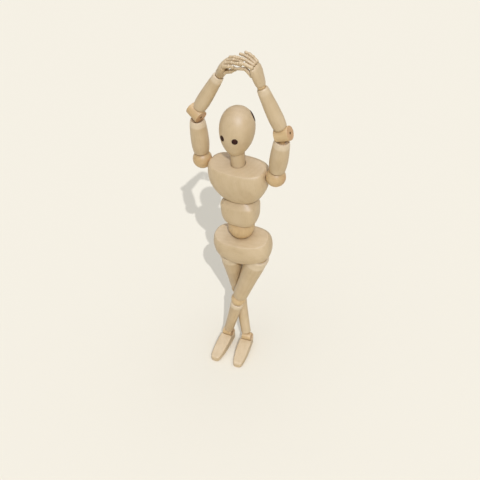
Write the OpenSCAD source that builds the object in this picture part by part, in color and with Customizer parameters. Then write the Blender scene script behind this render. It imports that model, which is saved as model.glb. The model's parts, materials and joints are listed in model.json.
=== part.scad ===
// Jointed wooden drawing figure, about 300 mm tall when it stands with its arms down.
// Millimetres. Floor at z = 0, the figure faces -Y, its left side is +X.

/* [Head and trunk] */
// Length of the egg-shaped head
head_len = 43.5; // [40:0.5:54]
// Widest diameter of the head
head_dia = 30; // [26:0.5:36]
// Diameter of each eye inlay
eye_dia = 5.1; // [3:0.1:7]
// Diameter of the plug in the side of the crown
plug_dia = 10.5; // [6:0.5:14]
// Diameter of the neck
neck_dia = 12.6; // [10:0.1:15]
// Width of the chest block
chest_w = 54; // [48:0.5:62]
// Front-to-back size of the chest, as a share of its width
chest_flat = 0.64; // [0.5:0.01:0.8]
// Width of the abdomen block
abdomen_w = 34; // [30:0.5:42]
// Front-to-back size of the abdomen, as a share of its width
abdomen_flat = 0.76; // [0.6:0.01:0.9]
// Width of the pelvis block
pelvis_w = 55.5; // [48:0.5:64]
// Front-to-back size of the pelvis, as a share of its width
pelvis_flat = 0.62; // [0.5:0.01:0.8]
// Distance between the two hip centres
hip_span = 27.4; // [24:0.1:32]
// Distance between the two shoulder centres
shoulder_span = 70; // [64:0.5:78]

/* [Joint pieces] */
// Radius of the waist ball
waist_r = 12.2; // [10:0.1:14]
// Radius of each shoulder ball
shoulder_r = 8.5; // [7:0.1:9.5]
// Radius of each hip ball
hip_r = 8.6; // [7:0.1:9]
// Radius of each knee ball
knee_r = 7.5; // [7:0.1:9]
// Radius of each wrist ball
wrist_r = 3.4; // [2.8:0.1:4.5]
// Radius of each elbow drum
elbow_r = 5.9; // [5.5:0.1:7.5]
// Length of each elbow drum
elbow_len = 12.4; // [10:0.1:15]
// Radius of the rounded underside of each ankle block
ankle_r = 4.5; // [4:0.1:6]
// Length of each ankle block across the foot
ankle_len = 9.6; // [9:0.1:13]
// Radius of the steel pins
pin_r = 1.1; // [0.6:0.05:1.2]
// Gap between a ball and the seat it turns in
seat_gap = 0.25; // [0.15:0.05:0.4]
// Radial running clearance of a turned stem in its bore
stem_gap = 0.05; // [0.02:0.01:0.1]

/* [Limb lengths] */
// Shoulder centre to elbow pin
upper_arm_len = 48; // [42:0.5:54]
// Elbow pin to wrist centre
forearm_len = 43; // [38:0.5:48]
// Hip centre to knee centre
thigh_len = 73.6; // [66:0.1:80]
// Knee centre to ankle pin
shin_len = 59.4; // [52:0.1:66]
// Height of the ankle pin above the sole
ankle_h = 13; // [11:0.5:16]

/* [Pose] */
// Where the pelvis stands, side to side
stand_x = -0.15; // [-20:0.01:20]
// Where the pelvis stands, front to back
stand_y = -4.19; // [-20:0.01:20]
// Pelvis dropped on its right side, degrees
pelvis_drop = 4.7; // [-8:0.1:8]
// Trunk leaning forward, degrees
trunk_forward = 1.5; // [-10:0.5:10]
// Trunk leaning to its right, degrees
trunk_lean = 2; // [-10:0.5:10]
// Abdomen turned to its right, degrees
waist_turn = 2.5; // [-15:0.5:15]
// Chest turned to its right, degrees
chest_turn = 5; // [-15:0.5:15]
// Neck leaning to its right, degrees
neck_lean = 3; // [-15:0.5:15]
// Head turned to its right, degrees
head_turn = 10; // [-40:1:40]
// Head tipped back, degrees
head_back = 16.5; // [-20:0.5:25]
// Right upper arm: angle from upright
arm_r_tilt = 6; // [0:0.5:180]
// Right upper arm: compass direction, 0 is to the front, 90 to the figure's left
arm_r_head = -19; // [-180:1:180]
// Left upper arm: angle from upright
arm_l_tilt = 11.5; // [0:0.5:180]
// Left upper arm: compass direction
arm_l_head = 45; // [-180:1:180]
// Right forearm: angle from upright
fore_r_tilt = 29.5; // [0:0.5:180]
// Right forearm: compass direction
fore_r_head = 91.5; // [-180:0.5:180]
// Left forearm: angle from upright
fore_l_tilt = 25; // [0:0.5:180]
// Left forearm: compass direction
fore_l_head = -80; // [-180:0.5:180]
// Right elbow pin: angle from upright
pin_r_tilt = 115; // [40:1:140]
// Right elbow pin: compass direction
pin_r_head = 66; // [-180:1:180]
// Left elbow pin: angle from upright
pin_l_tilt = 67; // [40:1:140]
// Left elbow pin: compass direction
pin_l_head = 86; // [-180:1:180]
// Right hand: angle from upright
hand_r_tilt = 35; // [0:1:180]
// Right hand: compass direction
hand_r_head = 58; // [-180:1:180]
// Left hand: angle from upright
hand_l_tilt = 20; // [0:1:180]
// Left hand: compass direction
hand_l_head = -90; // [-180:1:180]
// Right thigh: angle from upright
thigh_r_tilt = 160.4; // [90:0.1:180]
// Right thigh: compass direction
thigh_r_head = -175.9; // [-180:0.1:180]
// Left thigh: angle from upright
thigh_l_tilt = 161.6; // [90:0.1:180]
// Left thigh: compass direction
thigh_l_head = -106.9; // [-180:0.1:180]
// Right shin: angle from upright
shin_r_tilt = 160.4; // [90:0.1:180]
// Right shin: compass direction
shin_r_head = 47.4; // [-180:0.1:180]
// Left shin: compass direction
shin_l_head = -105.8; // [-180:0.1:180]
// Right foot: toe direction
foot_r_head = 3; // [-60:0.5:60]
// Left foot: toe direction
foot_l_head = -3.5; // [-60:0.5:60]

/* [Fingers] */
// Bend at the knuckle of the right index finger
right_curl_first = 40; // [0:1:75]
// Change of bend from each right finger to the next
right_curl_step = -1; // [-10:0.5:6]
// Bend at the knuckle of the left index finger
left_curl_first = 52; // [0:1:60]
// Change of bend from each left finger to the next
left_curl_step = -9; // [-12:0.5:6]
// Angle of the right thumb towards the palm
right_thumb = 37; // [10:1:65]
// Bend of the right thumb at its joint
right_thumb_bend = -14; // [-20:1:70]
// Angle of the left thumb towards the palm
left_thumb = 30; // [10:1:65]
// Bend of the left thumb at its joint
left_thumb_bend = 50; // [-20:1:70]
// Extra bend at each further finger joint
finger_bend = 14; // [0:1:40]

/* [Hidden] */
$fn = 64;
hg = 34.9;                     // hip centres below the waist centre
sh_up = 64.5;                  // shoulder line above the waist centre
neck_up = 66;                  // neck seat above the waist centre
dome_up = 12;                  // centre of the abdomen dome above the waist centre
dome_r = 24;                   // radius of the abdomen dome
thigh_dome = 10.8;             // radius of the rounded thigh top
stem_r = 2.4;                  // radius of the turned stems
hip_stem_a = 12;               // hip stems lean inwards
eps = 0.01;
wood = [0.80, 0.68, 0.48]; gold = [0.80, 0.62, 0.36]; dark = [0.16, 0.08, 0.05]; steel = [0.62, 0.62, 0.64];

function unit(v) = v / norm(v);
function dirv(t, h) = [sin(t) * sin(h), -sin(t) * cos(h), cos(t)];
// frame at p with its z axis along z and its x axis as near as possible to x
function frame(p, z, x) = let (w = unit(z), v = unit(cross(w, x)), u = cross(v, w))
  [[u[0], v[0], w[0], p[0]], [u[1], v[1], w[1], p[1]], [u[2], v[2], w[2], p[2]], [0, 0, 0, 1]];
// frame at p with its x axis along x and its z axis as near as possible to z
function pin_frame(p, x, z) = frame(p, cross(x, cross(z, x)), x);
function col(m, i) = [m[0][i], m[1][i], m[2][i]];
function put(m, q) = let (r = m * [q[0], q[1], q[2], 1]) [r[0], r[1], r[2]];
function turn(v, a, q) = let (k = unit(a)) v * cos(q) + cross(k, v) * sin(q) + k * (k * v) * (1 - cos(q));

// joint centres
hip_z = ankle_h - shin_len * cos(shin_r_tilt) - thigh_len * cos(thigh_r_tilt);
waist = [stand_x, stand_y, hip_z + hg * cos(pelvis_drop) + hip_span / 2 * sin(pelvis_drop)];
pelvis_m = frame(waist, [-sin(pelvis_drop), 0, cos(pelvis_drop)], [cos(pelvis_drop), 0, sin(pelvis_drop)]);
hip_rt = put(pelvis_m, [-hip_span / 2, 0, -hg]);
hip_lf = put(pelvis_m, [hip_span / 2, 0, -hg]);
thigh_rd = dirv(thigh_r_tilt, thigh_r_head);
thigh_ld = dirv(thigh_l_tilt, thigh_l_head);
knee_rt = hip_rt + thigh_len * thigh_rd;
knee_lf = hip_lf + thigh_len * thigh_ld;
shin_rd = dirv(shin_r_tilt, shin_r_head);
shin_l_tilt = 180 - acos((knee_lf[2] - ankle_h) / shin_len);
shin_ld = dirv(shin_l_tilt, shin_l_head);
ankle_rt = knee_rt + shin_len * shin_rd;
ankle_lf = knee_lf + shin_len * shin_ld;
trunk_z = unit([-sin(trunk_lean), -sin(trunk_forward), 1]);
abdomen_m = frame(waist, trunk_z, [cos(waist_turn), -sin(waist_turn), 0]);
chest_m = frame(waist, trunk_z, [cos(chest_turn), -sin(chest_turn), 0]);
shoulder_rt = put(chest_m, [-shoulder_span / 2, 0, sh_up]);
shoulder_lf = put(chest_m, [shoulder_span / 2, 0, sh_up]);
arm_rd = dirv(arm_r_tilt, arm_r_head);
arm_ld = dirv(arm_l_tilt, arm_l_head);
elbow_rt = shoulder_rt + upper_arm_len * arm_rd;
elbow_lf = shoulder_lf + upper_arm_len * arm_ld;
fore_rd = dirv(fore_r_tilt, fore_r_head);
fore_ld = dirv(fore_l_tilt, fore_l_head);
wrist_rt = elbow_rt + forearm_len * fore_rd;
wrist_lf = elbow_lf + forearm_len * fore_ld;
elbow_rx = dirv(pin_r_tilt, pin_r_head);
elbow_lx = dirv(pin_l_tilt, pin_l_head);
hand_rd = dirv(hand_r_tilt, hand_r_head);
hand_ld = dirv(hand_l_tilt, hand_l_head);
// neck and head
neck_z = unit([-sin(neck_lean), -0.03, 1]);
neck_m = frame(put(chest_m, [0, 0, neck_up]), neck_z, [cos(head_turn), -sin(head_turn), 0]);
neck_len = 15;
head_c = put(neck_m, [0, 0, neck_len]);
face_x = col(neck_m, 0);
head_z = turn(neck_z, face_x, -head_back);
head_m = frame(head_c, head_z, face_x);
head_low = 3.5;                // the egg reaches this far below the nod centre
head_fwd = 3.7;                // the egg stands this far ahead of the nod centre
// limb frames, z runs down the limb away from the body
upper_rm = frame(shoulder_rt, arm_rd, elbow_rx);
upper_lm = frame(shoulder_lf, arm_ld, elbow_lx);
drum_rm = pin_frame(elbow_rt, elbow_rx, arm_rd);
drum_lm = pin_frame(elbow_lf, elbow_lx, arm_ld);
fore_rm = frame(elbow_rt, fore_rd, elbow_rx);
fore_lm = frame(elbow_lf, fore_ld, elbow_lx);
wrist_rm = frame(wrist_rt, fore_rd, [0, 1, 0]);
wrist_lm = frame(wrist_lf, fore_ld, [0, 1, 0]);
hand_rm = frame(wrist_rt, hand_rd, [0, -1, 0]);
hand_lm = frame(wrist_lf, hand_ld, [0, -1, 0]);
thigh_rm = frame(hip_rt, thigh_rd, [1, 0, 0]);
thigh_lm = frame(hip_lf, thigh_ld, [1, 0, 0]);
knee_rm = frame(knee_rt, shin_rd, [1, 0, 0]);
knee_lm = frame(knee_lf, shin_ld, [1, 0, 0]);
foot_rx = [cos(foot_r_head), sin(foot_r_head), 0];
foot_lx = [cos(foot_l_head), sin(foot_l_head), 0];
shin_rm = frame(knee_rt, shin_rd, foot_rx);
shin_lm = frame(knee_lf, shin_ld, foot_lx);
foot_rm = frame([ankle_rt[0], ankle_rt[1], 0], [0, 0, 1], foot_rx);
foot_lm = frame([ankle_lf[0], ankle_lf[1], 0], [0, 0, 1], foot_lx);

// ---------- shared shapes ----------
// solid turned from a list of [radius, height] points, bottom to top
module turned(pts) rotate_extrude($fn = 72) polygon(concat([[0, pts[0][1]]], pts, [[0, pts[len(pts) - 1][1]]]));
// smooth block lofted through sections [height, half width, half depth, squareness], bottom to top
function cr(a, b, c, d, t) = 0.5 * (2 * b + (c - a) * t + (2 * a - 5 * b + 4 * c - d) * t * t + (3 * b - a - 3 * c + d) * t * t * t);
function spl(k, u) = let (i = min(floor(u), len(k) - 2)) cr(k[max(i - 1, 0)], k[i], k[i + 1], k[min(i + 2, len(k) - 1)], u - i);
function spow(c, q) = sign(c) * pow(abs(c), q);
loft_n = 44;
right_curl = [for (i = [0:3]) right_curl_first + i * right_curl_step];
left_curl = [for (i = [0:3]) left_curl_first + i * left_curl_step];
module loft(k, m) {
  sec = [for (j = [0:m]) spl(k, j * (len(k) - 1) / m)];
  pts = [for (q = sec) for (i = [0:loft_n - 1]) let (a = 360 * (i + 0.5) / loft_n) [q[1] * spow(cos(a), 2 / q[3]), q[2] * spow(sin(a), 2 / q[3]), q[0]]];
  side = [for (j = [0:m - 1]) for (i = [0:loft_n - 1]) let (i2 = (i + 1) % loft_n, a = j * loft_n + i, b = j * loft_n + i2, c = a + loft_n, d = b + loft_n) each [[a, c, b], [b, c, d]]];
  polyhedron(points = pts, faces = concat(side, [[for (i = [0:loft_n - 1]) i]], [[for (i = [0:loft_n - 1]) m * loft_n + loft_n - 1 - i]]), convexity = 4);
}

// close-wound tension spring, drawn as touching rings
module spring(r, wire, turns) rotate_extrude($fn = 48) difference() {
  union() { for (i = [0:turns - 1]) translate([r, (i + 0.5) * wire * 0.96]) circle(r = wire / 2, $fn = 24); }
  translate([-50, -50]) square([50, 400]);
}

// ---------- head, neck, trunk ----------
// egg: z from -head_low to head_len - head_low, widest above the middle
function egg_r(t) = head_dia / 2 * sqrt(max(0, 1 - pow(abs(2 * pow(t, 1.227) - 1), 2.12)));
module egg(d) translate([0, -head_fwd, 0]) rotate_extrude($fn = 72) polygon([for (i = [0:32]) let (t = i / 32) [i == 0 || i == 32 ? 0 : egg_r(t) + d, -head_low + head_len * t + (i == 0 ? -d : i == 32 ? d : 0)]]);
eye_z = 13.6;                  // eye height above the nod centre
eye_a = 25.5;                  // half the angle between the eyes
plug_z = 32.5;                 // plug height above the nod centre
plug_a = 52;                   // the plug stands this far from the back towards the left
plug_up = 30;                  // and looks this far up
function egg_at(z) = egg_r((z + head_low) / head_len);
module eye_at(s) translate([0, -head_fwd, 0]) rotate([0, 0, s * eye_a]) translate([0, -egg_at(eye_z), eye_z]) rotate([104, 0, 0]) children();
module plug_at() translate([0, -head_fwd, 0]) rotate([0, 0, -plug_a]) translate([0, egg_at(plug_z), plug_z]) rotate([-90 + plug_up, 0, 0]) children();
module head() color(wood) multmatrix(head_m) difference() {
  egg(0);
  // rounded seat for the top of the neck, opened below so that the head can nod
  sphere(r = neck_dia / 2 + seat_gap);
  translate([0, 0, -20]) cylinder(r1 = neck_dia / 2 + seat_gap + 20 * tan(26), r2 = neck_dia / 2 + seat_gap, h = 20 + eps);
  // spring bore
  cylinder(r = 2.6, h = 20);
  for (s = [-1, 1]) eye_at(s) translate([0, 0, -1.6]) cylinder(r = eye_dia / 2, h = 6);
  plug_at() translate([0, 0, -2.6]) cylinder(r = plug_dia / 2, h = 10);
}
module eyes() color(dark) multmatrix(head_m) for (s = [-1, 1]) eye_at(s) rotate_extrude($fn = 48) polygon(concat([[0, -1.6], [eye_dia / 2 + 0.02, -1.6], [eye_dia / 2 + 0.02, -0.1]], [for (a = [10:10:80]) [eye_dia / 2 * cos(a), 0.42 * sin(a)]], [[0, 0.42]]));
module crown_plug() color(dark) multmatrix(head_m) intersection() {
  plug_at() translate([0, 0, -2.6]) cylinder(r = plug_dia / 2 + 0.02, h = 8);
  egg(0.22);
}
module neck() color(wood) multmatrix(neck_m) difference() {
  union() {
    translate([0, 0, neck_len]) sphere(r = neck_dia / 2);
    translate([0, 0, -2.6]) cylinder(r = neck_dia / 2 - 0.05, h = neck_len + 2.6);
    translate([0, 0, -14]) cylinder(r = stem_r + 0.4, h = 14);
  }
  translate([0, 0, 6]) cylinder(r = 2.6, h = 30);
}
module neck_spring() color(steel) multmatrix(neck_m) translate([0, 0, 6.4]) spring(1.7, 1.1, 8);

// chest: flattened turned block, heights from the waist centre
chest_k = [[31.5, 9, 6, 2], [33.2, 14.5, 10, 2.1], [37, 19.6, 13.2, 2.2], [43, 23.8, 15.6, 2.4], [50, 26.6, 17.2, 2.6], [57, 27.5, 17.6, 2.7], [62.5, 27.5, 17, 2.8], [66.2, 27, 16, 2.8], [68.8, 25, 13.8, 2.7], [70.4, 20.5, 10.6, 2.5], [71.4, 13.5, 7.4, 2.2], [72, 6.5, 4, 2]];
module chest() color(wood) multmatrix(chest_m) difference() {
  scale([chest_w / 55, chest_w * chest_flat / 35.2, 1]) loft(chest_k, 26);
  // top slopes down to the front
  translate([0, -15, 66.8]) rotate([9, 0, 0]) translate([-40, -30, 0]) cube([80, 90, 30]);
  // seat on the abdomen dome
  translate([0, 0, dome_up]) sphere(r = dome_r + seat_gap);
  // seats and stem bores of the shoulder balls
  for (s = [-1, 1]) translate([s * shoulder_span / 2, 0, sh_up]) {
    sphere(r = shoulder_r + seat_gap);
    rotate([0, -s * 90, 0]) cylinder(r = stem_r + stem_gap, h = 24);
  }
  // neck: counterbore and stem bore
  multmatrix(inv_chest_neck) translate([0, 0, -2.8]) cylinder(r = neck_dia / 2 + seat_gap - 0.05, h = 20);
  multmatrix(inv_chest_neck) translate([0, 0, -14.5]) cylinder(r = stem_r + 0.4 + stem_gap, h = 20);
  // spring bore
  cylinder(r = 3.4, h = 46);
}
// neck frame seen from the chest frame
function rt(m) = [[m[0][0], m[1][0], m[2][0], 0], [m[0][1], m[1][1], m[2][1], 0], [m[0][2], m[1][2], m[2][2], 0], [0, 0, 0, 1]];
function tr(v) = [[1, 0, 0, v[0]], [0, 1, 0, v[1]], [0, 0, 1, v[2]], [0, 0, 0, 1]];
inv_chest_neck = rt(chest_m) * tr(-waist) * neck_m;

abdomen_k = [[7.2, 13.8, 10.8, 2.6], [8.2, 15.4, 12, 2.8], [11.6, 16.8, 13, 3], [15.5, 17.6, 13.5, 3.2], [21, 18, 13.7, 3.2], [26.2, 18.1, 13.7, 3.2], [28, 17.5, 13.2, 3.2], [31, 15, 11.2, 3], [34, 12.2, 9, 2.7], [36.4, 8, 6, 2.4]];
module abdomen() color(wood) multmatrix(abdomen_m) difference() {
  intersection() {
    scale([abdomen_w / 36, abdomen_w * abdomen_flat / 27.4, 1]) loft(abdomen_k, 18);
    translate([0, 0, dome_up]) sphere(r = dome_r);
  }
  sphere(r = waist_r + seat_gap);
  cylinder(r = 3.4, h = 60);
}
module trunk_spring() color(steel) multmatrix(abdomen_m) translate([0, 0, 13.4]) spring(2.3, 1.4, 14);
module waist_ball() color(gold) multmatrix(pelvis_m) difference() {
  union() {
    sphere(r = waist_r);
    translate([0, 0, -23]) cylinder(r = stem_r + 0.6, h = 20);
  }
  multmatrix(rt(pelvis_m)) multmatrix(rt_abd) translate([0, 0, 7.5]) cylinder(r1 = 2.4, r2 = 4.2, h = 6);
}
rt_abd = [[abdomen_m[0][0], abdomen_m[0][1], abdomen_m[0][2], 0], [abdomen_m[1][0], abdomen_m[1][1], abdomen_m[1][2], 0], [abdomen_m[2][0], abdomen_m[2][1], abdomen_m[2][2], 0], [0, 0, 0, 1]];

pelvis_k = [[-38.4, 16, 9, 2.2], [-36.6, 20.6, 12.4, 2.3], [-32.8, 24.8, 15.2, 2.4], [-27.4, 27.5, 17.2, 2.5], [-21.2, 28.5, 17.7, 2.6], [-15.2, 28.3, 17, 2.6], [-10.6, 26.9, 15.2, 2.6], [-7.6, 23.4, 12.2, 2.5], [-6.2, 17.6, 8.9, 2.3]];
module pelvis() color(wood) multmatrix(pelvis_m) difference() {
  scale([pelvis_w / 57, pelvis_w * pelvis_flat / 35.3, 1]) loft(pelvis_k, 24);
  // top slopes down to the front
  translate([0, -15.5, -13]) rotate([14.3, 0, 0]) translate([-40, -30, 0]) cube([80, 90, 30]);
  sphere(r = waist_r + seat_gap);
  translate([0, 0, -23.4]) cylinder(r = stem_r + 0.6 + stem_gap, h = 20);
  // flat under the crotch
  translate([-40, -30, -60]) cube([80, 60, 23.7]);
  for (s = [-1, 1]) translate([s * hip_span / 2, 0, -hg]) {
    sphere(r = thigh_dome + 0.9);
    // underside falls away outwards from the middle
    rotate([0, -s * 12, 0]) translate([s > 0 ? -hip_span / 2 - 0.2 : hip_span / 2 + 0.2 - 60, -30, -30]) cube([60, 60, 31.6]);
    rotate([0, -s * hip_stem_a, 0]) cylinder(r = stem_r + stem_gap, h = 17);
  }
}

// ---------- arms ----------
// z = 0 at the shoulder centre, z = upper_arm_len at the elbow pin, x along the pin
upper_p = [[4.4, 7.7], [5.9, 7.7], [6.5, 8.2], [6.85, 9.2], [7.1, 10.8], [7.6, 15.5], [7.75, 20], [7.6, 27], [7.2, 33], [6.95, 36.4], [6.7, 38.2], [6.3, 39.8], [5.95, 40.9], [5.6, 41.15], [4.7, 40.45], [3.5, 39.75], [2, 39.4]];
module saddle(m) multmatrix(m) translate([-20, 0, 0]) rotate([0, 90, 0]) cylinder(r = elbow_r + seat_gap, h = 40);
module upper_arm_shape(m) difference() {
  multmatrix(m) turned(upper_p);
  multmatrix(m) sphere(r = shoulder_r + seat_gap);
  multmatrix(m) cylinder(r = 2.6, h = 60);
}
// drum across the arm, with a stem along the upper arm
module elbow_drum_shape(m, um) difference() {
  union() {
    multmatrix(m) rotate([0, 90, 0]) translate([0, 0, -elbow_len / 2]) turned([[elbow_r - 0.5, 0], [elbow_r, 0.5], [elbow_r, elbow_len - 0.5], [elbow_r - 0.5, elbow_len]]);
    multmatrix(um) translate([0, 0, 37]) cylinder(r = 2.6 - stem_gap, h = upper_arm_len - 37 - 3);
  }
  multmatrix(m) translate([-20, 0, 0]) rotate([0, 90, 0]) cylinder(r = pin_r, h = 40, $fn = 32);
}
module elbow_pin_shape() translate([-(elbow_len - 0.3) / 2, 0, 0]) rotate([0, 90, 0]) cylinder(r = pin_r + 0.02, h = elbow_len - 0.3, $fn = 32);
fore_p = [[3.6, 4.6], [4.7, 5.2], [5.4, 6.4], [5.8, 8.6], [6.05, 13], [6.0, 18], [5.7, 25], [5.3, 31], [5.0, 36], [4.75, 39], [4.5, 40.8], [4.1, 41.6], [3.3, 41.8]];
module forearm_shape(m, dm) difference() {
  multmatrix(m) turned(fore_p);
  saddle(dm);
  multmatrix(m) translate([0, 0, forearm_len]) sphere(r = wrist_r + seat_gap);
  multmatrix(m) cylinder(r = 2.2, h = 27);
  multmatrix(m) cylinder(r = 1.5 + stem_gap, h = 60);
}
module wrist_ball_shape() union() { sphere(r = wrist_r); translate([0, 0, -12]) cylinder(r = 1.5, h = 10); }
module shoulder_ball_shape(s) union() { sphere(r = shoulder_r); rotate([0, -s * 90, 0]) cylinder(r = stem_r, h = 20); }

module shoulder_ball_right() color(gold) multmatrix(frame(shoulder_rt, col(chest_m, 2), col(chest_m, 0))) shoulder_ball_shape(-1);
module shoulder_ball_left() color(gold) multmatrix(frame(shoulder_lf, col(chest_m, 2), col(chest_m, 0))) shoulder_ball_shape(1);
module upper_arm_right() color(wood) upper_arm_shape(upper_rm);
module upper_arm_left() color(wood) upper_arm_shape(upper_lm);
module elbow_drum_right() color(gold) elbow_drum_shape(drum_rm, upper_rm);
module elbow_drum_left() color(gold) elbow_drum_shape(drum_lm, upper_lm);
module elbow_pin_right() color(steel) multmatrix(drum_rm) elbow_pin_shape();
module elbow_pin_left() color(steel) multmatrix(drum_lm) elbow_pin_shape();
module forearm_right() color(wood) forearm_shape(fore_rm, drum_rm);
module forearm_left() color(wood) forearm_shape(fore_lm, drum_lm);
module wrist_ball_right() color(gold) multmatrix(wrist_rm) wrist_ball_shape();
module wrist_ball_left() color(gold) multmatrix(wrist_lm) wrist_ball_shape();
module arm_spring_right() color(steel) multmatrix(upper_rm) translate([0, 0, 11]) spring(1.7, 1.1, 24);
module arm_spring_left() color(steel) multmatrix(upper_lm) translate([0, 0, 11]) spring(1.7, 1.1, 24);
module forearm_spring_right() color(steel) multmatrix(fore_rm) translate([0, 0, 9]) spring(1.4, 1.0, 16);
module forearm_spring_left() color(steel) multmatrix(fore_lm) translate([0, 0, 9]) spring(1.4, 1.0, 16);

// ---------- hands ----------
// z from the wrist to the knuckles, x to the thumb side; the palm side is +y on the right hand (s = 1) and -y on the left (s = -1)
palm_k = [[0.7, 3.6, 3.4, 2], [1.7, 4.3, 3.8, 2], [4, 5.2, 4, 2.1], [8, 6.4, 4, 2.2], [12, 7.3, 3.8, 2.4], [14.8, 7.6, 3.1, 2.4], [16.3, 7.2, 2.2, 2.3], [17, 6.2, 1.2, 2.1]];
knuckle_x = [5.55, 1.85, -1.85, -5.35];
knuckle_z = [17.8, 18.3, 18.2, 18];
finger_l = [[5.4, 4, 3.2], [5.8, 4.3, 3.4], [5.4, 4, 3.2], [4.4, 3.3, 2.7]];
knuckle_r = 1.65;
thumb_at = [3.8, 2.7, 11.4];
module palm_shape(s, curl, th) difference() {
  loft(palm_k, 14);
  sphere(r = wrist_r + seat_gap);
  // knuckle seats
  for (i = [0:3]) translate([knuckle_x[i], 0, knuckle_z[i]]) sphere(r = knuckle_r + 0.17, $fn = 32);
  // thumb slot with flat walls, open over the swing of the thumb
  translate([thumb_at[0] - 2.25, s * thumb_at[1], thumb_at[2]]) rotate([90, 0, 90]) linear_extrude(height = 12) polygon([for (q = slot_p(th)) [s * q[0], q[1]]]);
}
// side view of the thumb slot: round the thumb's root and out along both ends of its swing
function slot_p(th) = let (a = th - 12, b = th + 12, w = 2.3) concat(
  [for (k = [0:6]) let (g = a - 90 - k * (180 - (b - a)) / 6) [w * sin(g), w * cos(g)]],
  [[w * sin(b + 90) + 12 * sin(b), w * cos(b + 90) + 12 * cos(b)], [w * sin(a - 90) + 12 * sin(a), w * cos(a - 90) + 12 * cos(a)]]);
// finger: three tapering segments with rounded joints, bending towards the palm
module finger_shape(i, curl, s) translate([knuckle_x[i], 0, knuckle_z[i]]) rotate([-s * curl, 0, 0]) {
  l = finger_l[i];
  sphere(r = knuckle_r, $fn = 32);
  cylinder(r1 = 1.5, r2 = 1.35, h = l[0], $fn = 32);
  translate([0, 0, l[0]]) rotate([-s * finger_bend, 0, 0]) {
    sphere(r = 1.6, $fn = 32);
    cylinder(r1 = 1.35, r2 = 1.2, h = l[1], $fn = 32);
    translate([0, 0, l[1]]) rotate([-s * finger_bend, 0, 0]) {
      sphere(r = 1.45, $fn = 32);
      cylinder(r1 = 1.25, r2 = 1.05, h = l[2], $fn = 32);
      translate([0, 0, l[2]]) sphere(r = 1.2, $fn = 32);
    }
  }
}
// thumb: two segments, a is the angle of the first towards the palm, b the bend of the second
module thumb_shape(s, a, b) translate([thumb_at[0], s * thumb_at[1], thumb_at[2]]) rotate([-s * a, 0, 0]) {
  sphere(r = 2.0, $fn = 32);
  cylinder(r1 = 1.7, r2 = 1.5, h = 6.6, $fn = 32);
  translate([0, 0, 6.6]) rotate([-s * b, 0, 0]) {
    sphere(r = 1.75, $fn = 32);
    cylinder(r1 = 1.45, r2 = 1.2, h = 4.8, $fn = 32);
    translate([0, 0, 4.8]) sphere(r = 1.35, $fn = 32);
  }
}
module palm_right() color(wood) multmatrix(hand_rm) palm_shape(1, right_curl, right_thumb);
module palm_left() color(wood) multmatrix(hand_lm) palm_shape(-1, left_curl, left_thumb);
module thumb_right() color(wood) multmatrix(hand_rm) thumb_shape(1, right_thumb, right_thumb_bend);
module index_finger_right() color(wood) multmatrix(hand_rm) finger_shape(0, right_curl[0], 1);
module middle_finger_right() color(wood) multmatrix(hand_rm) finger_shape(1, right_curl[1], 1);
module ring_finger_right() color(wood) multmatrix(hand_rm) finger_shape(2, right_curl[2], 1);
module little_finger_right() color(wood) multmatrix(hand_rm) finger_shape(3, right_curl[3], 1);
module thumb_left() color(wood) multmatrix(hand_lm) thumb_shape(-1, left_thumb, left_thumb_bend);
module index_finger_left() color(wood) multmatrix(hand_lm) finger_shape(0, left_curl[0], -1);
module middle_finger_left() color(wood) multmatrix(hand_lm) finger_shape(1, left_curl[1], -1);
module ring_finger_left() color(wood) multmatrix(hand_lm) finger_shape(2, left_curl[2], -1);
module little_finger_left() color(wood) multmatrix(hand_lm) finger_shape(3, left_curl[3], -1);

// ---------- legs ----------
thigh_p = [[8.6, 1.6], [9.5, 2.0], [10.0, 3.2], [10.2, 8], [10.15, 13], [9.9, 19], [9.4, 26], [8.85, 35], [8.4, 44], [8.05, 53], [7.75, 61], [7.55, 64.4], [7.3, 66], [6.8, 66.8], [5.6, 66.9]];
module thigh_shape() difference() {
  union() {
    turned(thigh_p);
    intersection() { sphere(r = thigh_dome); translate([0, 0, -2.4]) cylinder(r = 20, h = 5.5); }
  }
  sphere(r = hip_r + seat_gap);
  translate([0, 0, thigh_len]) sphere(r = knee_r + seat_gap);
  cylinder(r = 3.2, h = 100);
}
module hip_ball_shape(s) union() { sphere(r = hip_r); rotate([0, -s * hip_stem_a, 0]) cylinder(r = stem_r, h = 16.4); }
module knee_ball_shape() union() { sphere(r = knee_r); cylinder(r = stem_r, h = 20); }
shin_p = [[4.2, 6.2], [5.6, 6.2], [6.3, 7], [6.6, 8.6], [6.4, 12], [6.08, 17], [5.83, 23], [5.58, 30], [5.32, 38], [5.12, 46], [4.95, 53.6], [4.6, 54.2]];
module shin_shape() difference() {
  turned(shin_p);
  sphere(r = knee_r + seat_gap);
  cylinder(r = stem_r + stem_gap, h = 20.4);
  translate([0, 0, 36.5]) cylinder(r = stem_r - 0.4 + stem_gap, h = 30);
}
module hip_ball_right() color(gold) multmatrix(pelvis_m) translate([-hip_span / 2, 0, -hg]) hip_ball_shape(-1);
module hip_ball_left() color(gold) multmatrix(pelvis_m) translate([hip_span / 2, 0, -hg]) hip_ball_shape(1);
module thigh_right() color(wood) multmatrix(thigh_rm) thigh_shape();
module thigh_left() color(wood) multmatrix(thigh_lm) thigh_shape();
module thigh_spring_right() color(steel) multmatrix(thigh_rm) translate([0, 0, 14]) spring(2.2, 1.4, 28);
module thigh_spring_left() color(steel) multmatrix(thigh_lm) translate([0, 0, 14]) spring(2.2, 1.4, 28);
module knee_ball_right() color(gold) multmatrix(knee_rm) knee_ball_shape();
module knee_ball_left() color(gold) multmatrix(knee_lm) knee_ball_shape();
module shin_right() color(wood) multmatrix(shin_rm) shin_shape();
module shin_left() color(wood) multmatrix(shin_lm) shin_shape();
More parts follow.
